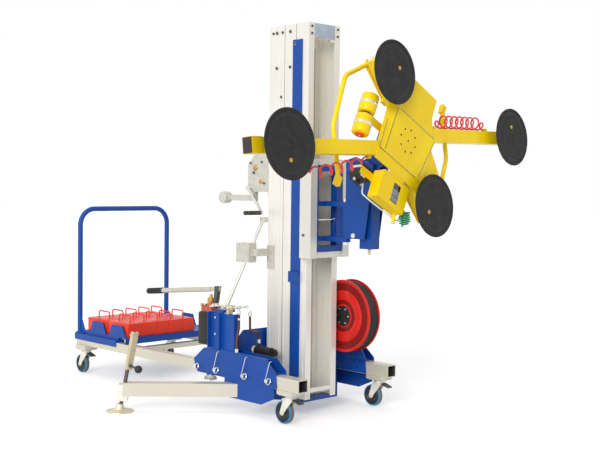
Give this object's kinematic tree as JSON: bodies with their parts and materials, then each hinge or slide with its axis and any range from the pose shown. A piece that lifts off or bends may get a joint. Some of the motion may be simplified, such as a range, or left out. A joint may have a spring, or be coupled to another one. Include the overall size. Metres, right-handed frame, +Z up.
{
  "type": "floor crane",
  "caption": "Wheeled counterbalanced glazing crane with a telescopic mast and a vacuum lifter with suction pads.",
  "frame": {"origin": "centre of the crane's outline box, on the floor", "axes": "+X from the ballast end towards the lifter, +Y to the side with the cable reel, +Z up"},
  "size_m": [2.721, 2.2894, 2.2],
  "materials": {
    "blue_paint": "glossy paint over welded steel",
    "mast_aluminium": "extruded, lightly brushed",
    "galvanised_steel": "zinc plated, slightly dull",
    "zinc_steel": "yellowish zinc plating",
    "caster_wheel": "grey tread on a blue rim",
    "ballast_paint": "orange-red paint over a cast weight, its wire handle too",
    "oil_tank": "dark semi-gloss paint",
    "cast_pump": "reddish painted casting with brass parts",
    "black_hose": "smooth black rubber",
    "reel_red": "glossy red paint with a black hub",
    "yellow_paint": "glossy paint over welded steel",
    "black_plastic": "matt moulded plastic",
    "red_hose": "translucent coiled air hose",
    "green_hose": "translucent coiled air hose",
    "pad_rubber": "matt sealing rubber on a dark plate"
  },
  "bodies": {
    "chassis": {"chassis_frame": "blue_paint", "rear_frame": "galvanised_steel", "leg_near": "galvanised_steel", "leg_far": "galvanised_steel", "ballast_platform": "blue_paint", "push_handle": "blue_paint", "pump_tank": "oil_tank", "pump_body": "cast_pump", "pump_hose": "black_hose", "tilt_cylinder": "blue_paint", "mast_base": "mast_aluminium", "winch": "galvanised_steel", "brace_strut": "galvanised_steel", "brace_clamp": "galvanised_steel"},
    "fork_front_near": {"caster_fork_front_near": "galvanised_steel"},
    "wheel_front_near": {"caster_wheel_front_near": "caster_wheel"},
    "fork_front_far": {"caster_fork_front_far": "galvanised_steel"},
    "wheel_front_far": {"caster_wheel_front_far": "caster_wheel"},
    "fork_rear_near": {"caster_fork_rear_near": "galvanised_steel"},
    "wheel_rear_near": {"caster_wheel_rear_near": "caster_wheel"},
    "fork_rear_far": {"caster_fork_rear_far": "galvanised_steel"},
    "wheel_rear_far": {"caster_wheel_rear_far": "caster_wheel"},
    "weight_front_1": {"weight_front_1": "ballast_paint"},
    "weight_front_2": {"weight_front_2": "ballast_paint"},
    "weight_front_3": {"weight_front_3": "ballast_paint"},
    "weight_front_4": {"weight_front_4": "ballast_paint"},
    "weight_front_5": {"weight_front_5": "ballast_paint"},
    "weight_rear_1": {"weight_rear_1": "ballast_paint"},
    "weight_rear_2": {"weight_rear_2": "ballast_paint"},
    "weight_rear_3": {"weight_rear_3": "ballast_paint"},
    "weight_rear_4": {"weight_rear_4": "ballast_paint"},
    "weight_rear_5": {"weight_rear_5": "ballast_paint"},
    "outrigger": {"outrigger_arm": "galvanised_steel"},
    "jack": {"jack_spindle": "galvanised_steel"},
    "jack_handle": {"jack_crank": "zinc_steel"},
    "lever": {"pump_lever": "zinc_steel"},
    "winch_handle": {"winch_crank": "galvanised_steel"},
    "reel": {"cable_reel": "reel_red", "reel_cable": "black_hose"},
    "mast_middle": {"mast_middle": "mast_aluminium"},
    "mast_front": {"mast_front": "mast_aluminium", "mast_guard": "blue_paint"},
    "carriage": {"carriage_rails": "mast_aluminium", "carriage_frame": "blue_paint"},
    "slew": {"slew_bracket": "blue_paint"},
    "tilt": {"tilt_head": "blue_paint"},
    "lifter": {"lifter_body": "yellow_paint", "vacuum_canisters": "yellow_paint", "lifter_pump": "black_plastic", "hose_left": "red_hose", "hose_right": "red_hose", "hose_green": "green_hose"},
    "arm_left": {"lifter_arm_left": "yellow_paint", "suction_pad_left": "pad_rubber"},
    "arm_right": {"lifter_arm_right": "yellow_paint", "suction_pad_right": "pad_rubber"},
    "arm_top": {"lifter_arm_top": "yellow_paint", "suction_pad_top": "pad_rubber"},
    "arm_bottom": {"lifter_arm_bottom": "yellow_paint", "suction_pad_bottom": "pad_rubber"}
  },
  "joints": [
    {"name": "swivel_front_near", "type": "hinge", "parent": "chassis", "child": "fork_front_near", "pos_m": [0.75946, -0.37817, 0.165], "axis": [0, 0, 1], "continuous": true},
    {"name": "roll_front_near", "type": "hinge", "parent": "fork_front_near", "child": "wheel_front_near", "pos_m": [0.71446, -0.37817, 0.0625], "axis": [0, 1, 0], "continuous": true},
    {"name": "swivel_front_far", "type": "hinge", "parent": "chassis", "child": "fork_front_far", "pos_m": [0.75946, 0.33483, 0.165], "axis": [0, 0, 1], "continuous": true},
    {"name": "roll_front_far", "type": "hinge", "parent": "fork_front_far", "child": "wheel_front_far", "pos_m": [0.71446, 0.33483, 0.0625], "axis": [0, 1, 0], "continuous": true},
    {"name": "swivel_rear_near", "type": "hinge", "parent": "chassis", "child": "fork_rear_near", "pos_m": [-1.25454, -0.37817, 0.165], "axis": [0, 0, 1], "continuous": true},
    {"name": "roll_rear_near", "type": "hinge", "parent": "fork_rear_near", "child": "wheel_rear_near", "pos_m": [-1.29954, -0.37817, 0.0625], "axis": [0, 1, 0], "continuous": true},
    {"name": "swivel_rear_far", "type": "hinge", "parent": "chassis", "child": "fork_rear_far", "pos_m": [-1.25454, 0.33483, 0.165], "axis": [0, 0, 1], "continuous": true},
    {"name": "roll_rear_far", "type": "hinge", "parent": "fork_rear_far", "child": "wheel_rear_far", "pos_m": [-1.29954, 0.33483, 0.0625], "axis": [0, 1, 0], "continuous": true},
    {"name": "lift_weight_front_1", "type": "slide", "parent": "chassis", "child": "weight_front_1", "axis": [0, 0, 1], "range_m": [0, 0.2]},
    {"name": "lift_weight_front_2", "type": "slide", "parent": "chassis", "child": "weight_front_2", "axis": [0, 0, 1], "range_m": [0, 0.2]},
    {"name": "lift_weight_front_3", "type": "slide", "parent": "chassis", "child": "weight_front_3", "axis": [0, 0, 1], "range_m": [0, 0.2]},
    {"name": "lift_weight_front_4", "type": "slide", "parent": "chassis", "child": "weight_front_4", "axis": [0, 0, 1], "range_m": [0, 0.2]},
    {"name": "lift_weight_front_5", "type": "slide", "parent": "chassis", "child": "weight_front_5", "axis": [0, 0, 1], "range_m": [0, 0.2]},
    {"name": "lift_weight_rear_1", "type": "slide", "parent": "chassis", "child": "weight_rear_1", "axis": [0, 0, 1], "range_m": [0, 0.2]},
    {"name": "lift_weight_rear_2", "type": "slide", "parent": "chassis", "child": "weight_rear_2", "axis": [0, 0, 1], "range_m": [0, 0.2]},
    {"name": "lift_weight_rear_3", "type": "slide", "parent": "chassis", "child": "weight_rear_3", "axis": [0, 0, 1], "range_m": [0, 0.2]},
    {"name": "lift_weight_rear_4", "type": "slide", "parent": "chassis", "child": "weight_rear_4", "axis": [0, 0, 1], "range_m": [0, 0.2]},
    {"name": "lift_weight_rear_5", "type": "slide", "parent": "chassis", "child": "weight_rear_5", "axis": [0, 0, 1], "range_m": [0, 0.2]},
    {"name": "outrigger_slide", "type": "slide", "parent": "chassis", "child": "outrigger", "axis": [0.673, 0.7396, 0], "range_m": [-0.1, 0.06]},
    {"name": "jack_screw", "type": "slide", "parent": "outrigger", "child": "jack", "axis": [0.1169, 0.1284, 0.9848], "range_m": [0, 0.018]},
    {"name": "jack_handle_fold", "type": "hinge", "parent": "jack", "child": "jack_handle", "pos_m": [-0.05855, -0.82861, 0.43529], "axis": [0.0076, -0.9917, 0.1284], "range_deg": [0, 100]},
    {"name": "pump_stroke", "type": "hinge", "parent": "chassis", "child": "lever", "pos_m": [0.11046, -0.35667, 0.682], "axis": [0, 1, 0], "range_deg": [-8, 45]},
    {"name": "winch_turn", "type": "hinge", "parent": "chassis", "child": "winch_handle", "pos_m": [0.14446, -0.15967, 1.27], "axis": [0, 1, 0], "continuous": true},
    {"name": "reel_turn", "type": "hinge", "parent": "chassis", "child": "reel", "pos_m": [0.64446, 0.18433, 0.538], "axis": [0, 1, 0], "continuous": true},
    {"name": "mast_middle_rise", "type": "slide", "parent": "chassis", "child": "mast_middle", "axis": [0, 0, 1], "range_m": [0, 1.5]},
    {"name": "mast_front_rise", "type": "slide", "parent": "mast_middle", "child": "mast_front", "axis": [0, 0, 1], "range_m": [0, 1.5]},
    {"name": "carriage_travel", "type": "slide", "parent": "mast_front", "child": "carriage", "axis": [0, 0, 1], "range_m": [-0.7, 0.66]},
    {"name": "slew_turn", "type": "hinge", "parent": "carriage", "child": "slew", "pos_m": [0.81146, -0.02167, 1.09], "axis": [0, 0, 1], "range_deg": [-80, 80]},
    {"name": "tilt_turn", "type": "hinge", "parent": "slew", "child": "tilt", "pos_m": [1.01114, -0.01036, 1.37], "axis": [0.0565, -0.9984, 0], "range_deg": [-10, 30]},
    {"name": "lifter_spin", "type": "hinge", "parent": "tilt", "child": "lifter", "pos_m": [1.28372, 0.00507, 1.53698], "axis": [0.9943, 0.0563, 0.0905], "continuous": true},
    {"name": "arm_slide_left", "type": "slide", "parent": "lifter", "child": "arm_left", "axis": [0.0581, -0.9982, -0.0174], "range_m": [0, 0.2]},
    {"name": "arm_slide_right", "type": "slide", "parent": "lifter", "child": "arm_right", "axis": [-0.0581, 0.9982, 0.0174], "range_m": [0, 0.2]},
    {"name": "arm_slide_top", "type": "slide", "parent": "lifter", "child": "arm_top", "axis": [-0.0466, -0.5334, 0.8446], "range_m": [0, 0.06]},
    {"name": "arm_slide_bottom", "type": "slide", "parent": "lifter", "child": "arm_bottom", "axis": [0.0466, 0.5334, -0.8446], "range_m": [0, 0.06]}
  ],
  "couplings": [
    {"joint": "mast_front_rise", "follows": "mast_middle_rise", "ratio": 1}
  ]
}
